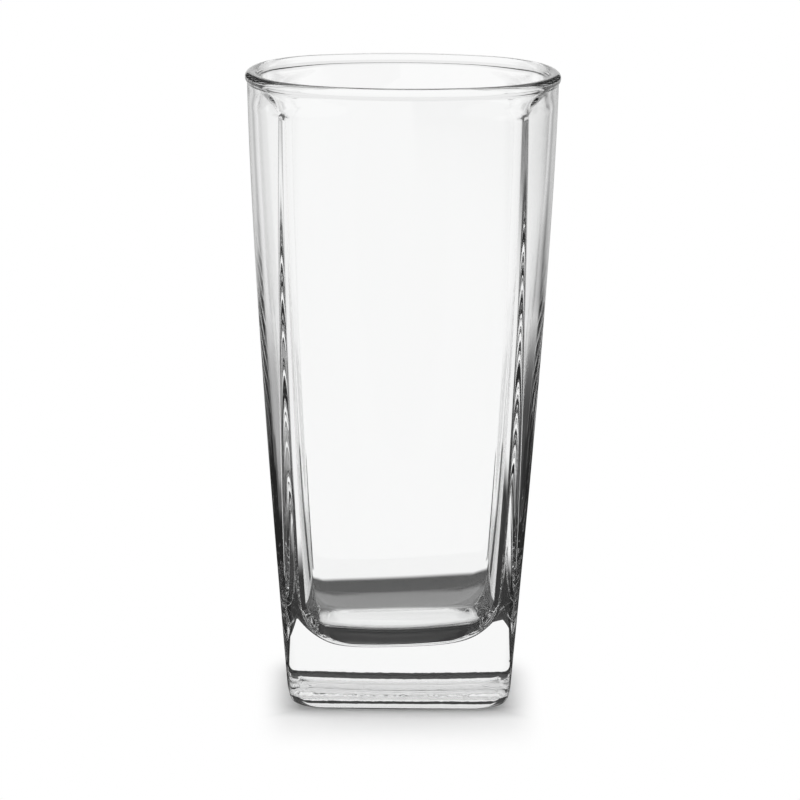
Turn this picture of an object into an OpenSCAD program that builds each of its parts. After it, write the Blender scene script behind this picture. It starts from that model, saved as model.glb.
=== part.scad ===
// Tall pressed-glass tumbler: a square foot that flares into a nearly round mouth, with four
// narrow upright edges that run from the heel to just under the lip.
// One moulding of clear glass, open at the top, with a solid base and a fire-polished lip.
// The origin is the centre of the flat underside, +Z points up and all lengths are millimetres.

/* [Overall] */
// Height from the table to the top of the lip
height = 160; // [120:1:200]
// How early the sides open out: 1 is a straight taper, 2 opens near the foot
flare_power = 1.35; // [1:0.05:2]

/* [Walls] */
// Width across the outside of the wall just under the bead
mouth_w = 79; // [64:0.5:96]
// Rounding of the four upright edges
edge_r = 3.4; // [1.5:0.1:8]
// Bow of the sides at the mouth: 0 is flat, 1 is a full circle
wall_bow_share = 0.67; // [0.2:0.01:0.9]
// Thickness of the wall at the mouth
mouth_wall = 2.7; // [2:0.1:4]

/* [Lip] */
// Corner radius of the lip's outline
lip_corner_r = 30; // [14:1:31]
// Bow of the lip's sides: 0 is flat, 1 is a full circle
lip_bow_share = 0.76; // [0.2:0.02:0.9]
// How far the bead stands out past the wall
bead_proud = 0.5; // [0.2:0.05:1]
// Height under the bead over which the upright edges melt into the lip
lip_fade = 5; // [1:0.5:12]

/* [Foot] */
// Width across the foot, measured at the table as if its heel were sharp
foot_w = 57; // [48:0.5:68]
// Bow of the sides at the foot: 0 is flat, 1 is a full circle
foot_bow_share = 0.09; // [0.02:0.01:0.6]
// Rounding of the heel, where the sides turn into the underside
heel_r = 4.4; // [1:0.1:6]
// Corner radius of the flat underside's outline
heel_corner_r = 9; // [3:0.5:14]

/* [Cavity] */
// Thickness of solid glass under the middle of the cavity
base_thick = 15.5; // [8:0.5:24]
// Width across the cavity at its floor, measured as if its bowl were sharp
floor_w = 50.6; // [36:0.2:52]
// Corner radius of the cavity's outline at its floor
floor_corner_r = 5; // [3:0.5:14]
// Bow of the cavity's sides at its floor: 0 is flat, 1 is a full circle
floor_bow_share = 0.12; // [0.02:0.01:0.6]
// Rounding of the cavity's upright edges near the mouth
inner_edge_r = 7; // [3:0.5:20]
// Bow of the cavity's sides near the mouth: 0 is flat, 1 is a full circle
inner_bow_share = 0.68; // [0.2:0.01:0.9]
// Rounding of the bowl, where the cavity's walls turn into its floor
bowl_r = 12.5; // [6:0.5:16]
// Rounding of the corners of the floor's flat middle: 0 is sharp, 1 is a full circle
flat_corner_share = 0.7; // [0.2:0.05:0.9]
// Bow of the sides of the floor's flat middle: 0 is straight, 1 is a full circle
flat_bow_share = 0.3; // [0.05:0.05:0.8]

/* [Facets] */
// Facets on half of each side's arc
side_facets = 4; // [3:1:6]
// Facets on half of each corner's arc
corner_facets = 3; // [2:1:5]
// Levels up the outside wall, and up the inside wall
wall_levels = 14; // [8:1:20]
// Levels where the upright edges melt into the lip
fade_levels = 4; // [2:1:8]
// Levels round the heel
heel_levels = 5; // [3:1:8]
// Levels round the bead
bead_levels = 12; // [8:1:16]
// Levels round the bowl
bowl_levels = 8; // [5:1:12]

/* [Hidden] */

right_angle = 90;
corner_angle = right_angle / 2;
quarter_points = 2 * (side_facets + corner_facets);
ring_points = 4 * quarter_points;

// The lip is as thick as the wall and the bead's swelling together, rounded over the top.
bead_r = (mouth_wall + bead_proud) / 2;
bead_centre = mouth_w / 2 + bead_proud - bead_r;
bead_z = height - bead_r;
// Where the bead meets the outside wall, as an angle below the bead's middle
bead_start = -acos((bead_r - bead_proud) / bead_r);
bead_foot_z = bead_z + bead_r * sin(bead_start);
// How far the blank runs below the table before its underside is ground flat
overrun = 2;

fade_start_z = bead_foot_z - lip_fade;
bowl_top_z = base_thick + bowl_r;
inner_mouth_w = mouth_w - 2 * mouth_wall;
flat_half_w = floor_w / 2 - bowl_r;

// A plan is a four-sided outline, held as [half width, corner radius, side radius].
lip_plan = [mouth_w / 2, lip_corner_r, mouth_w / 2 / lip_bow_share];
wall_plan = [mouth_w / 2, edge_r, mouth_w / 2 / wall_bow_share];
foot_plan = [foot_w / 2, edge_r, foot_w / 2 / foot_bow_share];
floor_plan = [floor_w / 2, floor_corner_r, floor_w / 2 / floor_bow_share];
flat_plan = [flat_half_w, flat_half_w * flat_corner_share, flat_half_w / flat_bow_share];
inner_wall_plan = [inner_mouth_w / 2, inner_edge_r, inner_mouth_w / 2 / inner_bow_share];
inner_lip_plan = offset_plan(lip_plan, -mouth_wall);

// Moves a plan outwards by a distance, or inwards if the distance is below zero.
function offset_plan(plan, distance) = [for (size = plan) size + distance];

// Shrinks a plan to a new half width and keeps its shape.
function scaled_plan(plan, half_w) = [for (size = plan) size * half_w / plan[0]];

// Blends two plans: widths and corner radii evenly, side arcs by their curvature.
function blend_plan(low, high, share) = [
    low[0] + (high[0] - low[0]) * share,
    low[1] + (high[1] - low[1]) * share,
    1 / (1 / low[2] + (1 / high[2] - 1 / low[2]) * share)
];

// Share of the flare that is reached at a share of the way up.
function flare(up_share) = 1 - pow(1 - up_share, flare_power);

// Share of the lip's outline at a height: none below the fade, all of it at a height above.
function lip_share(z, full_z) =
    let (share = min(1, max(0, (z - full_z + lip_fade) / lip_fade)))
    share * share * (3 - 2 * share);

// Distance of a corner arc's centre from each middle line of the plan.
function corner_offset(plan) =
    let (
        side_centre = plan[0] - plan[2],
        reach = plan[2] - plan[1]
    )
    (side_centre + sqrt(2 * reach * reach - side_centre * side_centre)) / 2;

// Direction in which a side's arc hands over to the corner's arc.
function handover(plan) = asin(corner_offset(plan) / (plan[2] - plan[1]));

// Point on a plan where its outward direction makes this angle with the side's middle.
function plan_point(plan, angle) =
    let (
        turn = handover(plan),
        centre = corner_offset(plan)
    )
    angle < turn
        ? [plan[0] - plan[2] + plan[2] * cos(angle), plan[2] * sin(angle)]
        : angle <= right_angle - turn
            ? [centre + plan[1] * cos(angle), centre + plan[1] * sin(angle)]
            : [plan[2] * cos(angle), plan[0] - plan[2] + plan[2] * sin(angle)];

// Outward direction at each step of half a quarter, from a side's middle to its corner.
function half_angle(plan, step) =
    let (turn = handover(plan))
    step <= side_facets
        ? turn * step / side_facets
        : turn + (corner_angle - turn) * (step - side_facets) / corner_facets;

function quarter_angle(plan, step) =
    step <= quarter_points / 2
        ? half_angle(plan, step)
        : right_angle - half_angle(plan, quarter_points - step);

function turned(point, angle) = [
    point[0] * cos(angle) - point[1] * sin(angle),
    point[0] * sin(angle) + point[1] * cos(angle)
];

// One closed ring of points at a height, all the way round a plan.
function ring(plan, z) = [
    for (quarter = [0:3])
        for (step = [0:quarter_points - 1])
            let (point = turned(plan_point(plan, quarter_angle(plan, step)), quarter * right_angle))
            [point[0], point[1], z]
];

// Outline of the outside at a height, before the heel is rounded.
function outside_plan(z) =
    let (wall = blend_plan(foot_plan, wall_plan, flare(z / height)))
    blend_plan(wall, scaled_plan(lip_plan, wall[0]), lip_share(z, bead_foot_z));

// Outline of the cavity at a height, before the bowl is rounded.
function inside_plan(z) =
    let (
        up_share = (z - base_thick) / (height - base_thick),
        wall = blend_plan(floor_plan, inner_wall_plan, flare(up_share))
    )
    blend_plan(wall, scaled_plan(inner_lip_plan, wall[0]), lip_share(z, bead_z));

// How far a rounding of this radius draws a wall in, at a height above its lower end.
function draw_in(radius, rise) = radius - sqrt(max(0, radius * radius - pow(radius - rise, 2)));

// Outline of the rounded heel: its corners turn rounder as its sides draw in.
function heel_plan(z) =
    let (
        plan = outside_plan(z),
        inset = draw_in(heel_r, z)
    )
    [plan[0] - inset, plan[1] + (heel_corner_r - plan[1]) * inset / heel_r, plan[2]];

function heel_ring(z) = ring(heel_plan(z), z);

// Outline of the rounded bowl: its corners turn rounder on the way down to the flat floor.
function bowl_plan(z) =
    let (
        plan = inside_plan(z),
        inset = draw_in(bowl_r, z - base_thick),
        bowl = blend_plan(plan, flat_plan, inset / bowl_r)
    )
    [plan[0] - inset, bowl[1], bowl[2]];

function bowl_ring(z) = ring(bowl_plan(z), z);

function bead_ring(angle) =
    let (half_w = bead_centre + bead_r * cos(angle))
    ring(offset_plan(lip_plan, half_w - lip_plan[0]), bead_z + bead_r * sin(angle));

// Rings from the underside, up the outside, over the lip and down into the cavity.
rings = [
    ring(heel_plan(0), -overrun),
    for (i = [0:heel_levels]) heel_ring(heel_r * (1 - cos(right_angle * i / heel_levels))),
    for (i = [1:wall_levels])
        let (z = heel_r + (fade_start_z - heel_r) * i / wall_levels)
        ring(outside_plan(z), z),
    for (i = [1:fade_levels - 1])
        let (z = fade_start_z + lip_fade * i / fade_levels)
        ring(outside_plan(z), z),
    for (i = [0:bead_levels]) bead_ring(bead_start + (2 * right_angle - bead_start) * i / bead_levels),
    for (i = [1:fade_levels])
        let (z = bead_z - lip_fade * i / fade_levels)
        ring(inside_plan(z), z),
    for (i = [1:wall_levels - 1])
        let (z = bead_z - lip_fade - (bead_z - lip_fade - bowl_top_z) * i / wall_levels)
        ring(inside_plan(z), z),
    for (i = [0:bowl_levels]) bowl_ring(base_thick + bowl_r * (1 - sin(right_angle * i / bowl_levels)))
];

shell_points = [for (level = rings) for (point = level) point];

// Two triangles between neighbouring points of neighbouring rings.
shell_faces = [
    for (level = [0:len(rings) - 2])
        for (i = [0:ring_points - 1])
            let (
                low = level * ring_points + i,
                low_next = level * ring_points + (i + 1) % ring_points,
                high = low + ring_points,
                high_next = low_next + ring_points
            )
            each [[low, high, high_next], [low, high_next, low_next]]
];

under_face = [[for (i = [0:ring_points - 1]) i]];
floor_face = [[for (i = [1:ring_points]) len(rings) * ring_points - i]];

// The glass as it leaves the mould, with its underside still uneven.
module blank() {
    polyhedron(points = shell_points, faces = concat(under_face, shell_faces, floor_face));
}

// Everything below the table, which grinding takes away.
module below_table() {
    translate([-mouth_w, -mouth_w, -2 * overrun])
        cube([2 * mouth_w, 2 * mouth_w, 2 * overrun]);
}

// The whole glass: walls, solid base and beaded lip are one piece.
module tumbler() {
    color([0.93, 0.95, 0.95, 0.45])
        difference() {
            blank();
            below_table();
        }
}

tumbler();
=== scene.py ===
# %% [markdown]
# A pressed highball glass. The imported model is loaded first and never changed: it fixes where
# the glass stands and how large it is. The glass that is seen is a second, finer mesh in the
# same place. Clear glass shows every facet of its surface as a bent line behind it, so the
# wall needs far more faces for a picture than it needs for weighing and touching.

# %% Load the fixed frame
import math
from collections import namedtuple

import bmesh
import bpy
from mathutils import Matrix, Vector


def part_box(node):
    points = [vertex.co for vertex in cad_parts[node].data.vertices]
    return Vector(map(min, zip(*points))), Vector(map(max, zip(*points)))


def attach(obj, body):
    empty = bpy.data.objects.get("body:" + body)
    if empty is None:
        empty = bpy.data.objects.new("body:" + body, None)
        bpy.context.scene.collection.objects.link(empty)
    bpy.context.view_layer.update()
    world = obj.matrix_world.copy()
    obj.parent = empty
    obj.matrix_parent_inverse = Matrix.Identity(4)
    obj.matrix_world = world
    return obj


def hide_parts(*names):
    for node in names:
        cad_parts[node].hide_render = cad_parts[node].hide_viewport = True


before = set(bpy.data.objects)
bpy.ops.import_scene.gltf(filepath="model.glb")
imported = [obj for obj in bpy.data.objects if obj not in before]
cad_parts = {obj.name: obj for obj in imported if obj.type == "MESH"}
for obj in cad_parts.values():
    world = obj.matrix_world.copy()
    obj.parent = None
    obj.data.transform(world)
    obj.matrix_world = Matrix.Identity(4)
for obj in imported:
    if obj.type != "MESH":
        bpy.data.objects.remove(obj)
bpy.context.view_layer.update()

MM = 0.001
low_corner, high_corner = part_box("tumbler")
height = high_corner.z
print("frame:", sorted(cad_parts), "height", round(height / MM, 2), "mm")

# %% [markdown]
# The camera comes before the shapes, because each shape is compared with the photograph. A
# product photographer stands well back with a long lens, so that the sides of a glass look
# nearly parallel. The distance, the height and the small turn were found from the outline:
# the ellipse of the mouth gives the elevation, and the widths of foot and lip the distance.
# The glass stands a little above the middle of the picture, which a small lens shift does
# without tilting the camera.

# %% Camera
PICTURE_WIDTH = 800
AIM_PIXEL = (400.9, 381.6)
SENSOR_WIDTH = 36
CLIP_DISTANCES = (0.05, 50)
CAMERA_DISTANCE = 1.325
CAMERA_ELEVATION = math.radians(10.2)
CAMERA_AZIMUTH = math.radians(-0.3)
CAMERA_ROLL = math.radians(0.4)
FOCAL_PIXELS = 5182


def make_camera():
    data = bpy.data.cameras.new("photo_camera")
    data.sensor_width = SENSOR_WIDTH
    data.lens = FOCAL_PIXELS / PICTURE_WIDTH * data.sensor_width
    data.shift_x = 0.5 - AIM_PIXEL[0] / PICTURE_WIDTH
    data.shift_y = AIM_PIXEL[1] / PICTURE_WIDTH - 0.5
    data.clip_start, data.clip_end = CLIP_DISTANCES
    camera = bpy.data.objects.new("photo_camera", data)
    bpy.context.scene.collection.objects.link(camera)
    level = math.cos(CAMERA_ELEVATION)
    back = Vector((
        math.sin(CAMERA_AZIMUTH) * level,
        -math.cos(CAMERA_AZIMUTH) * level,
        math.sin(CAMERA_ELEVATION),
    ))
    turn = (-back).to_track_quat("-Z", "Y").to_matrix().to_4x4()
    aim = Vector((0, 0, height / 2))
    roll = Matrix.Rotation(CAMERA_ROLL, 4, "Z")
    camera.matrix_world = Matrix.Translation(aim + back * CAMERA_DISTANCE) @ turn @ roll
    return camera


bpy.context.scene.camera = make_camera()
print("camera lens", round(bpy.context.scene.camera.data.lens, 1), "mm")

# %% [markdown]
# Node trees are written as arithmetic. A Wire is one socket, and adding or multiplying wires
# adds Math nodes, so a formula in the script reads like a formula on paper. Every other node
# comes from one method, which sets the node's settings before it fills its sockets.


# %% Helpers for node trees
class Wire:
    """An output socket that takes part in Python arithmetic."""

    def __init__(self, sheet, socket):
        self.sheet = sheet
        self.socket = socket

    def maths(self, operation, *values):
        inputs = dict(enumerate(values))
        return self.sheet.add("ShaderNodeMath", {"operation": operation}, inputs)

    def __add__(self, other):
        return self.maths("ADD", self, other)

    def __radd__(self, other):
        return self.maths("ADD", other, self)

    def __sub__(self, other):
        return self.maths("SUBTRACT", self, other)

    def __rsub__(self, other):
        return self.maths("SUBTRACT", other, self)

    def __mul__(self, other):
        return self.maths("MULTIPLY", self, other)

    def __rmul__(self, other):
        return self.maths("MULTIPLY", other, self)

    def __truediv__(self, other):
        return self.maths("DIVIDE", self, other)


class Sheet:
    """A node tree that starts empty."""

    def __init__(self, tree):
        self.tree = tree
        tree.nodes.clear()

    def add(self, kind, settings=None, inputs=None, output=0):
        node = self.tree.nodes.new(kind)
        for name, value in (settings or {}).items():
            if name == "stops":
                self.set_stops(node.color_ramp, value)
            else:
                setattr(node, name, value)
        for name, value in (inputs or {}).items():
            self.fill(self.find(node.inputs, name), value)
        if not node.outputs:
            return node
        return Wire(self, self.find(node.outputs, output))

    def find(self, sockets, name):
        if isinstance(name, int):
            return sockets[name]
        return next(s for s in sockets if s.name == name and s.enabled)

    def fill(self, socket, value):
        if isinstance(value, Wire):
            self.tree.links.new(value.socket, socket)
        else:
            socket.default_value = value

    def set_stops(self, ramp, stops):
        while len(ramp.elements) > 1:
            ramp.elements.remove(ramp.elements[-1])
        for count, (place, tone) in enumerate(stops):
            stop = ramp.elements[0] if count == 0 else ramp.elements.new(place)
            stop.position = place
            stop.color = (tone, tone, tone, 1)


# %% [markdown]
# A clear glass is only seen by what it bends and mirrors. Photographers put it before a white
# panel and lay black cards beside it, out of the picture: the edges, where the glass bends
# light most, then pick up the cards and are drawn dark. Here the cards are painted tones, and
# only rays that have passed through or bounced off the glass see them. The glass really bends
# the light, but the darkness it bends into its edges, lines and bands is painted. The camera
# itself, and the light that falls on the floor, meet plain white all round. How often a ray has
# crossed the skin of the glass, and how often it has bounced inside it, tells the wall, the
# thick base and the edges apart, so each of them can be given its own painted card. A tone is a
# mix of a black and a white shader, because a Mix Shader's factor may change from place to place.

# %% Tones round the studio
# Painted reflections: tones of the surroundings by angle, which only rays from the glass see.
PAINTED_PANEL_TONES = [
    (0, 0.86),
    (9, 0.86),
    (12, 0.06),
    (39, 0.06),
    (41, 0.8),
    (51, 0.8),
    (53, 0.08),
    (81, 0.08),
    (84, 0.8),
]
HALF_TURN = 180
COUNT_MARGIN = 0.6
COUNT_EDGE = 0.2
YES_NO = (0.4, 0.6)
MANY_BOUNCES = (1.2, 3)


def ramp(value, start, end):
    """0 below the start, 1 above the end and an even curve between them."""
    inputs = {"Value": value, "From Min": start, "From Max": end, "To Max": 1}
    return value.sheet.add("ShaderNodeMapRange", {"interpolation_type": "SMOOTHSTEP"}, inputs)


def band(value, start, end, edge):
    """1 between a start and an end, with soft edges inside them."""
    return ramp(value, start, start + edge) * (1 - ramp(value, end - edge, end))


def heading(x, y):
    """Angle in degrees between a direction and the one to the background, on either side."""
    return x.maths("ABSOLUTE", x.maths("ARCTAN2", x, y)) * (HALF_TURN / math.pi)


def separate(sheet, vector, axis):
    return sheet.add("ShaderNodeSeparateXYZ", inputs={"Vector": vector}, output=axis)


def mix_shaders(sheet, share, first, second):
    """The first shader at a share of 0, the second at 1."""
    return sheet.add("ShaderNodeMixShader", inputs={0: share, 1: first, 2: second})


def path(sheet, output):
    """One fact about the ray that is being followed, such as how often it has crossed glass."""
    return sheet.add("ShaderNodeLightPath", output=output)


def glass_ray(sheet):
    """1 where the camera looks through or off the glass, 0 for the camera and for plain light."""
    by_glass = path(sheet, "Is Glossy Ray")
    by_glass = by_glass.maths("MAXIMUM", by_glass, path(sheet, "Is Transmission Ray"))
    return by_glass * (1 - ramp(path(sheet, "Diffuse Depth"), *YES_NO))


def passes(sheet, start, end):
    """1 for rays that have crossed from air to glass, or back, this many times."""
    crossings = path(sheet, "Transmission Depth")
    return band(crossings, start - COUNT_MARGIN, end + COUNT_MARGIN, COUNT_EDGE)


def bounces(sheet, start, end):
    """0 for rays that bounced no more often than the start, 1 from the end on."""
    return ramp(path(sheet, "Glossy Depth"), start, end)


# %% World
WHITE = (1, 1, 1, 1)
BLACK = (0, 0, 0, 1)
OVERHEAD_TONE = 0.92
OVERHEAD_UP = (0.5, 0.6)
STEEP_UP = (0.66, 0.74)
LAST_BOUNCES = (5, 8)
TRAPPED_SHADE = 0.85


def make_world():
    world = bpy.data.worlds.new("studio")
    world.use_nodes = True
    bpy.context.scene.world = world
    sheet = Sheet(world.node_tree)
    direction = sheet.add("ShaderNodeTexCoord", output="Generated")
    x = separate(sheet, direction, "X")
    y = separate(sheet, direction, "Y")
    up = separate(sheet, direction, "Z")
    stops = [(degrees / HALF_TURN, tone) for degrees, tone in PAINTED_PANEL_TONES]
    panels = sheet.add("ShaderNodeValToRGB", {"stops": stops}, {"Fac": heading(x, y) / HALF_TURN})
    overhead = ramp(up, *OVERHEAD_UP)
    light = panels.maths("MAXIMUM", panels, overhead * OVERHEAD_TONE)
    lost = bounces(sheet, *LAST_BOUNCES) * (1 - ramp(up, *STEEP_UP))
    free = overhead * passes(sheet, 0, 2) * (1 - lost)
    trapped = bounces(sheet, *MANY_BOUNCES) * (1 - free)
    # Painted shade: rays that bounced often inside the glass see the surroundings darker.
    tones = light * (1 - trapped * TRAPPED_SHADE)
    white = sheet.add("ShaderNodeBackground", inputs={"Color": WHITE})
    black = sheet.add("ShaderNodeBackground", inputs={"Color": BLACK})
    # Only rays from the glass see these painted tones; the camera and the light on the floor see
    # white.
    seen = mix_shaders(sheet, glass_ray(sheet) * (1 - tones), white, black)
    sheet.add("ShaderNodeOutputWorld", inputs={"Surface": seen})
    return world


make_world()

# %% [markdown]
# The floor is a plain white sheet. Near the foot it is lit by the white surroundings, so it
# renders white by itself, and the glass leaves its own soft shadow on it. The deeper shade where
# it touches is painted into the sheet's colour, and farther off the camera sees it glow plain
# white.

# %% Floor
FLOOR_HALF_WIDTH = 3.0
FLOOR_SINK = 0.00002


def make_floor():
    mesh = bpy.data.meshes.new("floor")
    bm = bmesh.new()
    bmesh.ops.create_grid(bm, x_segments=2, y_segments=2, size=FLOOR_HALF_WIDTH)
    bmesh.ops.translate(bm, verts=bm.verts, vec=(0, 0, -FLOOR_SINK))
    bm.to_mesh(mesh)
    bm.free()
    floor = bpy.data.objects.new("floor", mesh)
    bpy.context.scene.collection.objects.link(floor)
    return floor


floor = make_floor()

# %% [markdown]
# Rays from the glass find painted cards on the floor to the left and right behind the glass,
# dark tones that only these rays see. A card is laid out by the angle of its sides, in degrees
# from the line to the background, and by its distance from the middle of the glass. The far
# cards have painted slanting light streaks, which the thick edges bend into nested arches, and
# the ones on the right are darker. Pairs of numbers are where a card's edge starts to fade and
# where it has faded.

# %% Where a ray lands on the floor
Spot = namedtuple("Spot", "sheet place x y radius angle on_right fall")

RIGHT_X = (0.0, 0.02)
STRIP_R = 0.03


def find_spot(sheet, place):
    """The place in the terms of the cards, and how far the ray fell on its way there."""
    x = separate(sheet, place, "X")
    y = separate(sheet, place, "Y")
    radius = sheet.add("ShaderNodeVectorMath", {"operation": "LENGTH"}, {0: place}, "Value")
    length = path(sheet, "Ray Length")
    fall = length * length - (radius - STRIP_R) * (radius - STRIP_R)
    return Spot(sheet, place, x, y, radius, heading(x, y), ramp(x, *RIGHT_X), fall)


# %% Far cards with streaks
CARD_ANGLES = (8, 29)
CARD_EDGE = 2
CARD_END = (0.55, 0.63)
STREAK_STEP = 0.04
STREAK_SLANT = 0.0055
STREAK_EDGES = (0.33, 0.48)
STREAK_START = (0.27, 0.47)
STREAK_LIGHT = 0.85
WOBBLE_SCALE = 9.0
WOBBLE_DETAIL = 3.0
WOBBLE_SHARE = 1.2
OUTER_ANGLES = (26, 52)
OUTER_EDGE = 3
OUTER_END = (0.36, 0.5)
OUTER_LEFT = 0.5
OUTER_RIGHT = 0.93


def wobble(spot):
    """A slow unevenness, so that the streaks on the cards are not ruled lines."""
    inputs = {"Vector": spot.place, "Scale": WOBBLE_SCALE, "Detail": WOBBLE_DETAIL}
    return spot.sheet.add("ShaderNodeTexNoise", inputs=inputs, output=0) * WOBBLE_SHARE


def streaked_card(spot):
    card = band(spot.angle, *CARD_ANGLES, CARD_EDGE) * (1 - ramp(spot.radius, *CARD_END))
    slant = (spot.radius + spot.angle * STREAK_SLANT) / STREAK_STEP + wobble(spot)
    streak = ramp(slant.maths("PINGPONG", slant, 0.5), *STREAK_EDGES)
    return card * (1 - streak * ramp(spot.radius, *STREAK_START) * STREAK_LIGHT)


def outer_card(spot):
    """The painted card outside the streaked one, which is grey on the left and black on the right.
    """
    card = band(spot.angle, *OUTER_ANGLES, OUTER_EDGE) * (1 - ramp(spot.radius, *OUTER_END))
    return card * (OUTER_LEFT + (OUTER_RIGHT - OUTER_LEFT) * spot.on_right)


# %% Floor painted dark close behind the glass, for rays from the glass only
NEAR_END = (0.2, 0.25)
NEAR_LEFT_ANGLES = (45, 60)
ROUND_END = (0.12, 0.16)
BEHIND_Y = (-0.06, -0.03)
TRAPPED_END = (0.2, 0.26)
STEEP_FALL = (0.0145, 0.0175)
STEEP_END = (0.14, 0.17)


def near_card(spot):
    left_gap = ramp(spot.angle, *NEAR_LEFT_ANGLES) * (1 - spot.on_right)
    near = (1 - ramp(spot.radius, *NEAR_END)) * (1 - left_gap)
    return near.maths("MAXIMUM", near, 1 - ramp(spot.radius, *ROUND_END))


def strip_cards(spot, trapped):
    """What the four edges show. Rays that fall steeply come from the lip and miss it."""
    card = streaked_card(spot)
    card = card.maths("MAXIMUM", card, outer_card(spot))
    bent = bounces(spot.sheet, *YES_NO) * ramp(spot.y, *BEHIND_Y)
    steep = ramp(spot.fall, *STEEP_FALL) * (1 - ramp(spot.radius, *STEEP_END))
    card = card.maths("MAXIMUM", card, near_card(spot)) * bent
    card = card.maths("MAXIMUM", card, trapped * (1 - ramp(spot.radius, *TRAPPED_END)))
    return card * (1 - steep)


# %% Faint far painted bands, seen through the walls of the edges
FINGER_X = (0.05, 0.1)
FINGER_ANGLES = (30, 38)
FINGER_START = (0.45, 0.9)
FINGER_SHARE = 0.8
FAINT_BANDS = [(8, 34, 4, 0.15), (22, 30, 3, 0.35), (35, 52, 4, 0.45)]
FAINT_RIGHT = (8, 40, 3)
FAINT_RIGHT_END = (0.55, 0.8)
FAINT_RIGHT_SHARE = 0.4
FAINT_START = (0.42, 0.5)


def faint_bands(spot):
    finger = ramp(spot.x, *FINGER_X) * ramp(spot.angle, *FINGER_ANGLES)
    finger = finger * ramp(spot.radius, *FINGER_START) * FINGER_SHARE
    faint = 0
    for start, end, edge, share in FAINT_BANDS:
        faint = faint + band(spot.angle, start, end, edge) * share
    right = spot.on_right * band(spot.angle, *FAINT_RIGHT)
    faint = faint + right * (1 - ramp(spot.radius, *FAINT_RIGHT_END)) * FAINT_RIGHT_SHARE
    far = finger.maths("MAXIMUM", finger, faint * ramp(spot.radius, *FAINT_START))
    return far * passes(spot.sheet, 1, 2)


# %% [markdown]
# The thick base and the round bowl work as lenses. They bend the floor under the foot and just
# round it up into the glass, so a ring of floor that is painted dark for rays from the glass
# becomes the two dark bands of the bowl. A clear window in the middle keeps the solid base bright.

# %% Tones under the foot and the bowl
RING_RADII = (0.024, 0.082)
RING_EDGE = 0.01
RING_INNER_SHADE = 0.82
RING_STEP = (0.05, 0.056)
RING_FALL = (0.003, 0.006)
UNDER_END = (0.049, 0.052)
UNDER_HOLE = (0.026, 0.028)
UNDER_BOUNCES = (1.2, 2.5)
WINDOW_EDGE = (0.035, 0.038)
WINDOW_END = (0.2, 0.25)
LINE_ANGLES = (23, 31)
LINE_EDGE = 2
LINE_RADII = (0.1, 0.29)
LINE_FADE = 0.02


def ring_shade(spot, trapped):
    """The ring of floor painted dark for glass rays, which the round bowl bends into its two bands.
    """
    darker = RING_INNER_SHADE + (1 - RING_INNER_SHADE) * ramp(spot.radius, *RING_STEP)
    ring = band(spot.radius, *RING_RADII, RING_EDGE) * darker
    shade = (1 - passes(spot.sheet, 0, 2)) * ring * (1 - trapped)
    return shade * (1 - ramp(spot.fall, *RING_FALL))


def foot_shade(spot):
    """Painted dark under the foot and beside it for glass rays, with a clear window for the solid
    base.
    """
    straight = 1 - bounces(spot.sheet, *YES_NO)
    under = (1 - ramp(spot.radius, *UNDER_END)) * (1 - bounces(spot.sheet, *UNDER_BOUNCES))
    under = under * (1 - straight * (1 - ramp(spot.radius, *UNDER_HOLE)))
    aside = spot.x.maths("ABSOLUTE", spot.x)
    across = aside.maths("MINIMUM", aside, spot.y.maths("ABSOLUTE", spot.y))
    window = 1 - ramp(across, *WINDOW_EDGE) * (1 - ramp(spot.radius, *WINDOW_END))
    return passes(spot.sheet, 2, 2) * (1 - (1 - under) * (1 - straight * (1 - window)))


def thin_line(spot, trapped):
    """The painted thin dark line inside each edge."""
    line = band(spot.angle, *LINE_ANGLES, LINE_EDGE) * band(spot.radius, *LINE_RADII, LINE_FADE)
    return line * (1 - trapped)


# %% [markdown]
# Where the painted cards overlap, the darkest one counts, and the painted shades then darken what
# is left. The camera itself sees none of them. It sees the white sheet, which takes the glass's
# shadow near the foot and glows plain white farther off.

# %% All tones of the floor together
# The darkest painted tone, which the glass shows at its edges.
PAINTED_CARD_TONE = 0.018
CENTRE_TONE = 0.97
SIDE_TONE = 0.93
SIDE_X = (0.1, 0.3)
MIRROR_SHADE = 0.5
FAR_RIGHT_X = (0.08, 0.14)
FAR_RIGHT_SHADE = 0.65


def floor_tone(sheet, place):
    """What a ray from the glass sees at a place on the floor."""
    spot = find_spot(sheet, place)
    trapped = bounces(sheet, *MANY_BOUNCES)
    card = strip_cards(spot, trapped)
    card = card.maths("MAXIMUM", card, faint_bands(spot))
    shade = ring_shade(spot, trapped) + foot_shade(spot)
    # Painted shade on the floor that the glass's outer skin mirrors.
    mirrored = passes(sheet, 0, 0) * MIRROR_SHADE
    clear = (1 - card) * (1 - thin_line(spot, trapped)) * (1 - shade) * (1 - mirrored)
    aside = ramp(spot.x.maths("ABSOLUTE", spot.x), *SIDE_X)
    plain = CENTRE_TONE - (CENTRE_TONE - SIDE_TONE) * aside
    # Painted shade on the far right, for rays that bounced often inside the glass.
    far_right = trapped * ramp(spot.x, *FAR_RIGHT_X) * FAR_RIGHT_SHADE
    return clear * (plain * (1 - far_right) - PAINTED_CARD_TONE) + PAINTED_CARD_TONE


# %% Floor material
FLOOR_COLOUR = (0.98, 0.98, 0.98, 1)
# Painted contact shadow: the sheet's colour close to the foot.
PAINTED_CONTACT_SHADE = (0.7, 0.7, 0.7, 1)
PAINTED_CONTACT_REACH = (0.025, 0.036)
BESIDE_FOOT = (0.0265, 0.037)
BEFORE_FOOT = (0.03, 0.072)
BEHIND_FOOT = (0.01, 0.04)


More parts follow.
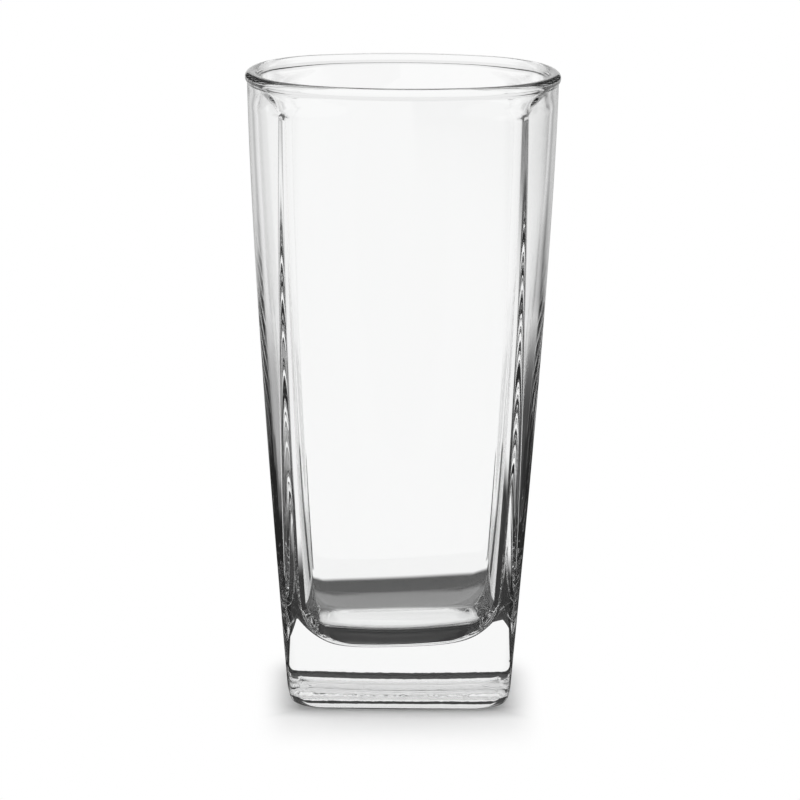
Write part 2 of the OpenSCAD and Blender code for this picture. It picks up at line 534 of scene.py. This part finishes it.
def floor_material():
    material = bpy.data.materials.new("white_sheet")
    material.use_nodes = True
    sheet = Sheet(material.node_tree)
    place = sheet.add("ShaderNodeNewGeometry", output="Position")
    x = separate(sheet, place, "X")
    y = separate(sheet, place, "Y")
    aside = x.maths("ABSOLUTE", x)
    beside = ramp(aside, *BESIDE_FOOT)
    before = ramp(-1 * y, *BEFORE_FOOT)
    behind = ramp(y, *BEHIND_FOOT)
    outward = x.maths("MAXIMUM", aside, y.maths("ABSOLUTE", y))
    # Painted contact shadow: the sheet turns grey close to the foot.
    contact_shade = sheet.add("ShaderNodeBsdfDiffuse", inputs={"Color": PAINTED_CONTACT_SHADE})
    paper = sheet.add("ShaderNodeBsdfDiffuse", inputs={"Color": FLOOR_COLOUR})
    lit = mix_shaders(sheet, ramp(outward, *PAINTED_CONTACT_REACH), contact_shade, paper)
    white = sheet.add("ShaderNodeEmission", inputs={"Color": WHITE})
    black = sheet.add("ShaderNodeEmission", inputs={"Color": BLACK})
    # The glass's real shadow shows near the foot only: farther off the camera sees the sheet glow
    # plain white, which cuts the shadow off, farther out in front than beside and behind.
    white_glow_share = (1 - (1 - beside) * (1 - before) * (1 - behind)) * path(sheet, "Is Camera Ray")
    plain = mix_shaders(sheet, white_glow_share, lit, white)
    tones = mix_shaders(sheet, floor_tone(sheet, place), black, white)
    shader = mix_shaders(sheet, glass_ray(sheet), plain, tones)
    sheet.add("ShaderNodeOutputMaterial", inputs={"Surface": shader})
    return material


floor.data.materials.append(floor_material())

# %% [markdown]
# A low black collar stands round the glass and paints the dark line round the heel. Only rays
# that crossed the solid foot once and didn't bounce in it see it, and nothing else does, so the
# painted line shows without darkening the floor or the clear wall above. Its height decides
# where the line ends: the front of the heel looks just over it, and the back of the heel looks at
# it.

# %% Collar
COLLAR_R = 0.13
COLLAR_HEIGHT = 0.0262
# The painted dark line round the heel.
PAINTED_HEEL_LINE_TONE = (0.03, 0.03, 0.03, 1)
COLLAR_SEGMENTS = 96


def collar_material():
    material = bpy.data.materials.new("painted_heel_line")
    material.use_nodes = True
    sheet = Sheet(material.node_tree)
    clear = sheet.add("ShaderNodeBsdfTransparent")
    # Painted dark heel line: only rays that crossed the foot once without bouncing see the collar.
    dark = sheet.add("ShaderNodeEmission", inputs={"Color": PAINTED_HEEL_LINE_TONE})
    seen = passes(sheet, 2, 2) * (1 - bounces(sheet, *YES_NO)) * glass_ray(sheet)
    shader = mix_shaders(sheet, seen, clear, dark)
    sheet.add("ShaderNodeOutputMaterial", inputs={"Surface": shader})
    return material


def make_collar():
    bm = bmesh.new()
    bmesh.ops.create_circle(bm, segments=COLLAR_SEGMENTS, radius=COLLAR_R)
    raised = bmesh.ops.extrude_edge_only(bm, edges=bm.edges[:])["geom"]
    top = [item for item in raised if isinstance(item, bmesh.types.BMVert)]
    bmesh.ops.translate(bm, verts=top, vec=(0, 0, COLLAR_HEIGHT))
    mesh = bpy.data.meshes.new("heel_line_collar")
    bm.to_mesh(mesh)
    bm.free()
    mesh.materials.append(collar_material())
    collar = bpy.data.objects.new("heel_line_collar", mesh)
    bpy.context.scene.collection.objects.link(collar)


make_collar()

# %% [markdown]
# The glass has four bowed sides and four round corners at every height. One outline, or plan,
# holds its half width, the radius of its corners and the radius of its sides. The foot is a
# nearly straight square and the mouth is nearly round, and between them the three sizes blend
# from one plan to the other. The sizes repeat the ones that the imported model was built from.
# Only the cavity's edges melt into the lip a little lower here, because a thick corner just
# under the lip would trap light and turn black.

# %% Plans
Plan = namedtuple("Plan", "half_w corner_r side_r")

MOUTH_HALF_W = 39.5 * MM
EDGE_R = 3.4 * MM
WALL_BOW_SHARE = 0.67
LIP_CORNER_R = 30 * MM
LIP_BOW_SHARE = 0.76
LIP_FADE = 5 * MM
INNER_FADE = 8 * MM
INNER_EDGE_R = 7 * MM
INNER_BOW_SHARE = 0.68
MOUTH_WALL = 2.7 * MM
FOOT_HALF_W = 28.5 * MM
FOOT_BOW_SHARE = 0.09
CAVITY_HALF_W = 25.3 * MM
CAVITY_CORNER_R = 5 * MM
CAVITY_BOW_SHARE = 0.12
BASE_THICK = 15.5 * MM
FLARE_POWER = 1.35

lip_plan = Plan(MOUTH_HALF_W, LIP_CORNER_R, MOUTH_HALF_W / LIP_BOW_SHARE)
wall_plan = Plan(MOUTH_HALF_W, EDGE_R, MOUTH_HALF_W / WALL_BOW_SHARE)
foot_plan = Plan(FOOT_HALF_W, EDGE_R, FOOT_HALF_W / FOOT_BOW_SHARE)
cavity_plan = Plan(CAVITY_HALF_W, CAVITY_CORNER_R, CAVITY_HALF_W / CAVITY_BOW_SHARE)


def offset_plan(plan, distance):
    return Plan(*(size + distance for size in plan))


def scaled_plan(plan, half_w):
    return Plan(*(size * half_w / plan.half_w for size in plan))


def blend_plans(low, high, share):
    """Widths and corners blend evenly, and the sides by how strongly they curve."""
    return Plan(
        low.half_w + (high.half_w - low.half_w) * share,
        low.corner_r + (high.corner_r - low.corner_r) * share,
        1 / (1 / low.side_r + (1 / high.side_r - 1 / low.side_r) * share),
    )


def flare(share):
    """How far the foot's plan has turned into the mouth's at a share of the way up."""
    return 1 - (1 - share) ** FLARE_POWER


def lip_share(z, full_z, fade):
    """How far the edges have melted into the round lip at a height."""
    share = min(1, max(0, (z - full_z + fade) / fade))
    return share * share * (3 - 2 * share)


BEAD_PROUD = 0.5 * MM
BEAD_R = (MOUTH_WALL + BEAD_PROUD) / 2
BEAD_Z = height - BEAD_R
FILLET_R = 0.8 * MM
fillet_reach = BEAD_R + FILLET_R
bead_start = -math.acos((fillet_reach - BEAD_PROUD) / fillet_reach)
fillet_z = BEAD_Z + fillet_reach * math.sin(bead_start)
inner_lip_plan = offset_plan(lip_plan, -MOUTH_WALL)
inner_wall_plan = Plan(inner_lip_plan.half_w, INNER_EDGE_R, inner_lip_plan.half_w / INNER_BOW_SHARE)


def outside_plan(z):
    """The four edges stay sharp up to a little below the bead, and there melt into the lip."""
    wall = blend_plans(foot_plan, wall_plan, flare(z / height))
    lip = scaled_plan(lip_plan, wall.half_w)
    return blend_plans(wall, lip, lip_share(z, fillet_z, LIP_FADE))


def inside_plan(z):
    up_share = (z - BASE_THICK) / (height - BASE_THICK)
    wall = blend_plans(cavity_plan, inner_wall_plan, flare(up_share))
    lip = scaled_plan(inner_lip_plan, wall.half_w)
    return blend_plans(wall, lip, lip_share(z, BEAD_Z, INNER_FADE))


print("lip", lip_plan, "foot", foot_plan)

# %% [markdown]
# A plan becomes a ring of points by walking along its arcs: half a side, a corner, the next
# half side, four times over. The same number of points goes to each arc on every ring, so the
# rings line up and the faces between them are even.

# %% Points of a ring
SIDE_STEPS = 16
CORNER_STEPS = 12
QUARTER = math.pi / 2
QUARTER_STEPS = 2 * (SIDE_STEPS + CORNER_STEPS)
RING_POINTS = 4 * QUARTER_STEPS


def corner_centre(plan):
    """Distance of a corner arc's centre from both middle lines."""
    side_centre = plan.half_w - plan.side_r
    reach = plan.side_r - plan.corner_r
    return (side_centre + math.sqrt(2 * reach**2 - side_centre**2)) / 2


def quarter_point(plan, step):
    """Point at a step of the quarter from the middle of one side to the middle of the next."""
    centre = corner_centre(plan)
    turn = math.asin(centre / (plan.side_r - plan.corner_r))
    half_step = min(step, QUARTER_STEPS - step)
    if half_step <= SIDE_STEPS:
        angle = turn * half_step / SIDE_STEPS
        x = plan.half_w - plan.side_r + plan.side_r * math.cos(angle)
        y = plan.side_r * math.sin(angle)
    else:
        angle = turn + (QUARTER / 2 - turn) * (half_step - SIDE_STEPS) / CORNER_STEPS
        x = centre + plan.corner_r * math.cos(angle)
        y = centre + plan.corner_r * math.sin(angle)
    return (x, y) if half_step == step else (y, x)


def ring_points(plan):
    points = []
    for quarter in range(4):
        turn = Matrix.Rotation(quarter * QUARTER, 2)
        for step in range(QUARTER_STEPS):
            points.append(turn @ Vector(quarter_point(plan, step)))
    return points


# %% [markdown]
# Now the section from the middle of the underside to the middle of the cavity's floor, as one
# list of rings: flat underside, round heel, outside wall, a small hollow under the bead, the
# bead over the lip, inside wall, round bowl and the cavity's floor. Each entry is a plan, a
# height and, inside the cavity, how far the ring leans.

# %% Rings up the outside
HEEL_R = 4.4 * MM
HEEL_CORNER_R = 9 * MM
HEEL_LEVELS = 14
WALL_LEVELS = 72
LIP_FADE_LEVELS = 12
BEAD_LEVELS = 32
FILLET_LEVELS = 8
FLAT_SHARES = [0.02, 0.2, 0.4, 0.6, 0.8, 0.95]


def draw_in(radius, rise):
    """How far a rounding draws the wall in, at a rise above its lower end."""
    return radius - math.sqrt(max(0, radius**2 - (radius - rise) ** 2))


def heel_plan(z):
    """The heel draws the sides in, and its corners more than its sides."""
    plan = outside_plan(z)
    inset = draw_in(HEEL_R, z)
    corner_r = plan.corner_r + (HEEL_CORNER_R - plan.corner_r) * inset / HEEL_R
    return Plan(plan.half_w - inset, corner_r, plan.side_r)


def underside_rings():
    edge = heel_plan(0)
    return [(scaled_plan(edge, edge.half_w * share), 0.0) for share in FLAT_SHARES]


def heel_rings():
    rings = []
    for level in range(HEEL_LEVELS + 1):
        z = HEEL_R * (1 - math.cos(QUARTER * level / HEEL_LEVELS))
        rings.append((heel_plan(z), z))
    return rings


def outside_rings():
    fade_start = fillet_z - LIP_FADE
    heights = [HEEL_R + (fade_start - HEEL_R) * i / WALL_LEVELS for i in range(1, WALL_LEVELS)]
    heights += [fade_start + LIP_FADE * i / LIP_FADE_LEVELS for i in range(LIP_FADE_LEVELS)]
    return [(outside_plan(z), z) for z in heights]


def fillet_rings():
    """The hollow under the bead, from the wall round to the bead."""
    wall = outside_plan(fillet_z)
    rings = []
    for level in range(FILLET_LEVELS):
        angle = bead_start * level / FILLET_LEVELS
        out = FILLET_R * (1 - math.cos(angle))
        rings.append((offset_plan(wall, out), fillet_z - FILLET_R * math.sin(angle)))
    return rings


# %% Rings over the lip and down the inside
BOWL_R = 12.5 * MM
BOWL_LEVELS = 28
FLAT_CORNER_SHARE = 0.7
FLAT_BOW_SHARE = 0.3
flat_half_w = CAVITY_HALF_W - BOWL_R
flat_plan = Plan(flat_half_w, flat_half_w * FLAT_CORNER_SHARE, flat_half_w / FLAT_BOW_SHARE)
CAVITY_LEAN = math.tan(math.radians(3))
LEAN_TWIST = 22


def lean(z):
    """The plunger went in a little askew, which shows at the bowl and fades half way up."""
    return CAVITY_LEAN * (1 - min(1, (z - BASE_THICK) / (height / 2)))


def bead_rings():
    rings = []
    centre = MOUTH_HALF_W + BEAD_PROUD - BEAD_R
    for level in range(BEAD_LEVELS + 1):
        angle = bead_start + (math.pi - bead_start) * level / BEAD_LEVELS
        half_w = centre + BEAD_R * math.cos(angle)
        z = BEAD_Z + BEAD_R * math.sin(angle)
        rings.append((offset_plan(lip_plan, half_w - MOUTH_HALF_W), z))
    return rings


def inside_rings():
    fade_end = BEAD_Z - INNER_FADE
    bowl_top = BASE_THICK + BOWL_R
    heights = [BEAD_Z - INNER_FADE * i / LIP_FADE_LEVELS for i in range(1, LIP_FADE_LEVELS)]
    heights += [fade_end + (bowl_top - fade_end) * i / WALL_LEVELS for i in range(WALL_LEVELS)]
    return [(inside_plan(z), z, lean(z)) for z in heights]


def bowl_plan(z):
    """The bowl draws the walls in, and its corners turn rounder on the way to the floor."""
    plan = inside_plan(z)
    inset = draw_in(BOWL_R, z - BASE_THICK)
    bowl = blend_plans(plan, flat_plan, inset / BOWL_R)
    return Plan(plan.half_w - inset, bowl.corner_r, bowl.side_r)


def bowl_rings():
    rings = []
    for level in range(BOWL_LEVELS + 1):
        rise = BOWL_R * (1 - math.sin(QUARTER * level / BOWL_LEVELS))
        z = BASE_THICK + rise
        rings.append((bowl_plan(z), z, lean(z)))
    return rings


def cavity_floor_rings():
    edge = bowl_plan(BASE_THICK)
    return [
        (scaled_plan(edge, edge.half_w * share), BASE_THICK, CAVITY_LEAN)
        for share in reversed(FLAT_SHARES)
    ]


# %% [markdown]
# The mesh starts as one small circle in the middle of the underside. Its open edge is extruded
# once for each ring of the list, and each new ring is moved to the points of its plan, so the
# skin grows out, up, over the lip and down into the cavity like glass pressed by a plunger.
# Two last faces close the small holes in the middle.

# %% Grow the skin
glass_rings = (
    underside_rings()
    + heel_rings()
    + outside_rings()
    + fillet_rings()
    + bead_rings()
    + inside_rings()
    + bowl_rings()
    + cavity_floor_rings()
)


def place_ring(verts, plan, z, slope=0.0):
    """The slope is steeper at the back, because the plunger was a little twisted too."""
    for vert, point in zip(verts, ring_points(plan)):
        rise = point.x * slope * (1 + LEAN_TWIST * point.y)
        vert.co = (point.x, point.y, z + rise)


def next_ring(bm, verts):
    """Extrudes a closed ring and returns the new ring's points in the same order."""
    edges = [bm.edges.get((verts[i - 1], verts[i])) for i in range(len(verts))]
    made = bmesh.ops.extrude_edge_only(bm, edges=edges)["geom"]
    fresh = {item for item in made if isinstance(item, bmesh.types.BMVert)}
    ring = []
    for vert in verts:
        others = (edge.other_vert(vert) for edge in vert.link_edges)
        ring.append(next(other for other in others if other in fresh))
    return ring


def grow_glass():
    bm = bmesh.new()
    ring = bmesh.ops.create_circle(bm, segments=RING_POINTS, radius=MM)["verts"]
    first = ring
    place_ring(ring, *glass_rings[0])
    for entry in glass_rings[1:]:
        ring = next_ring(bm, ring)
        place_ring(ring, *entry)
    for rim in (first, ring):
        bmesh.ops.contextual_create(bm, geom=rim)
    bmesh.ops.recalc_face_normals(bm, faces=bm.faces)
    return bm


# %% Make the tumbler
def make_tumbler():
    bm = grow_glass()
    for face in bm.faces:
        face.smooth = True
    mesh = bpy.data.meshes.new("pressed_tumbler")
    bm.to_mesh(mesh)
    bm.free()
    tumbler = bpy.data.objects.new("pressed_tumbler", mesh)
    bpy.context.scene.collection.objects.link(tumbler)
    return tumbler


tumbler = make_tumbler()
print("tumbler", len(tumbler.data.polygons), "faces on", len(glass_rings), "rings of", RING_POINTS)

# %% [markdown]
# Clear soda-lime glass bends light by an index of about 1.52. It is not perfectly even: the
# press leaves a slight waviness and a grainy heel, and a few tiny gas seeds stay in the wall on
# the right. All are bumps on the surface, far too shallow to change the outline. The glass is
# a little greener and duller where it is thick, and the ring on which it stands is rubbed
# slightly dull.

# %% Glass material
GLASS_IOR = 1.52
CLEAR = (0.997, 0.999, 0.998, 1)
DULL = (0.988, 0.993, 0.989, 1)
THICK_END = (4 * MM, 40 * MM)
TINT_SCALE = 60.0

WAVE_SCALE = 38.0
WAVE_HEIGHT = 0.012 * MM
GRAIN_SCALE = 420.0
GRAIN_DETAIL = 3.0
GRAIN_HEIGHT = 0.05 * MM
GRAIN_BAND = (0.6 * MM, 5.5 * MM, 1.2 * MM)

SEED_SCALE = 520.0
SEED_HEIGHT = 0.03 * MM
SEED_R = 0.25
SEED_SIDE = (20 * MM, 30 * MM)
PATCH_SCALE = 45.0
PATCH_EDGE = (0.62, 0.68)

RUBBED_SCALE = 300.0
RUBBED_EDGE = (0.35, 0.7)
RUBBED_END = (0.01 * MM, 0.12 * MM)
RUBBED_ROUGHNESS = 0.09


def grain(sheet, place, scale, detail=2.0):
    """Even grey noise from 0 to 1 that is fixed to the glass."""
    inputs = {"Vector": place, "Scale": scale, "Detail": detail}
    return sheet.add("ShaderNodeTexNoise", inputs=inputs, output=0)


def seeds(sheet, place):
    """Tiny round bubbles just under the skin, in a few patches only."""
    inputs = {"Vector": place, "Scale": SEED_SCALE}
    near = sheet.add("ShaderNodeTexVoronoi", inputs=inputs, output="Distance")
    patches = ramp(grain(sheet, place, PATCH_SCALE), *PATCH_EDGE)
    patches = patches * ramp(separate(sheet, place, "X"), *SEED_SIDE)
    return (1 - ramp(near, 0.0, SEED_R)) * patches


def uneven_skin(sheet, place, z):
    """Height of the glass's skin over its smooth form."""
    at_heel = band(z, *GRAIN_BAND)
    coarse = grain(sheet, place, GRAIN_SCALE, GRAIN_DETAIL)
    skin = (grain(sheet, place, WAVE_SCALE) - 0.5) * WAVE_HEIGHT
    skin = skin + at_heel * (coarse - 0.5) * GRAIN_HEIGHT
    return skin + seeds(sheet, place) * SEED_HEIGHT


def glass_material():
    material = bpy.data.materials.new("clear_glass")
    material.use_nodes = True
    sheet = Sheet(material.node_tree)
    place = sheet.add("ShaderNodeTexCoord", output="Object")
    z = separate(sheet, place, "Z")
    height_map = {"Height": uneven_skin(sheet, place, z), "Distance": 1.0}
    bump = sheet.add("ShaderNodeBump", inputs=height_map)
    thick = (1 - ramp(z, *THICK_END)) * grain(sheet, place, TINT_SCALE)
    colours = {"Factor": thick, "A": CLEAR, "B": DULL}
    tint = sheet.add("ShaderNodeMix", {"data_type": "RGBA"}, colours, "Result")
    rubbed = (1 - ramp(z, *RUBBED_END)) * ramp(grain(sheet, place, RUBBED_SCALE), *RUBBED_EDGE)
    shader = sheet.add(
        "ShaderNodeBsdfPrincipled",
        inputs={
            "Base Color": tint,
            "Roughness": rubbed * RUBBED_ROUGHNESS,
            "IOR": GLASS_IOR,
            "Transmission Weight": 1.0,
            "Normal": bump,
        },
    )
    sheet.add("ShaderNodeOutputMaterial", inputs={"Surface": shader})
    return material


tumbler.data.materials.append(glass_material())
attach(tumbler, "root")
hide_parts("tumbler")

# %% [markdown]
# Light that enters thick glass bounces about inside it many times before it comes out again.
# Each bounce that is cut off turns black, so the limits are raised.

# %% Light paths
GLASS_BOUNCES = 32
cycles = bpy.context.scene.cycles
cycles.max_bounces = GLASS_BOUNCES
cycles.transmission_bounces = GLASS_BOUNCES
cycles.glossy_bounces = GLASS_BOUNCES
bpy.context.scene.view_settings.view_transform = "Standard"
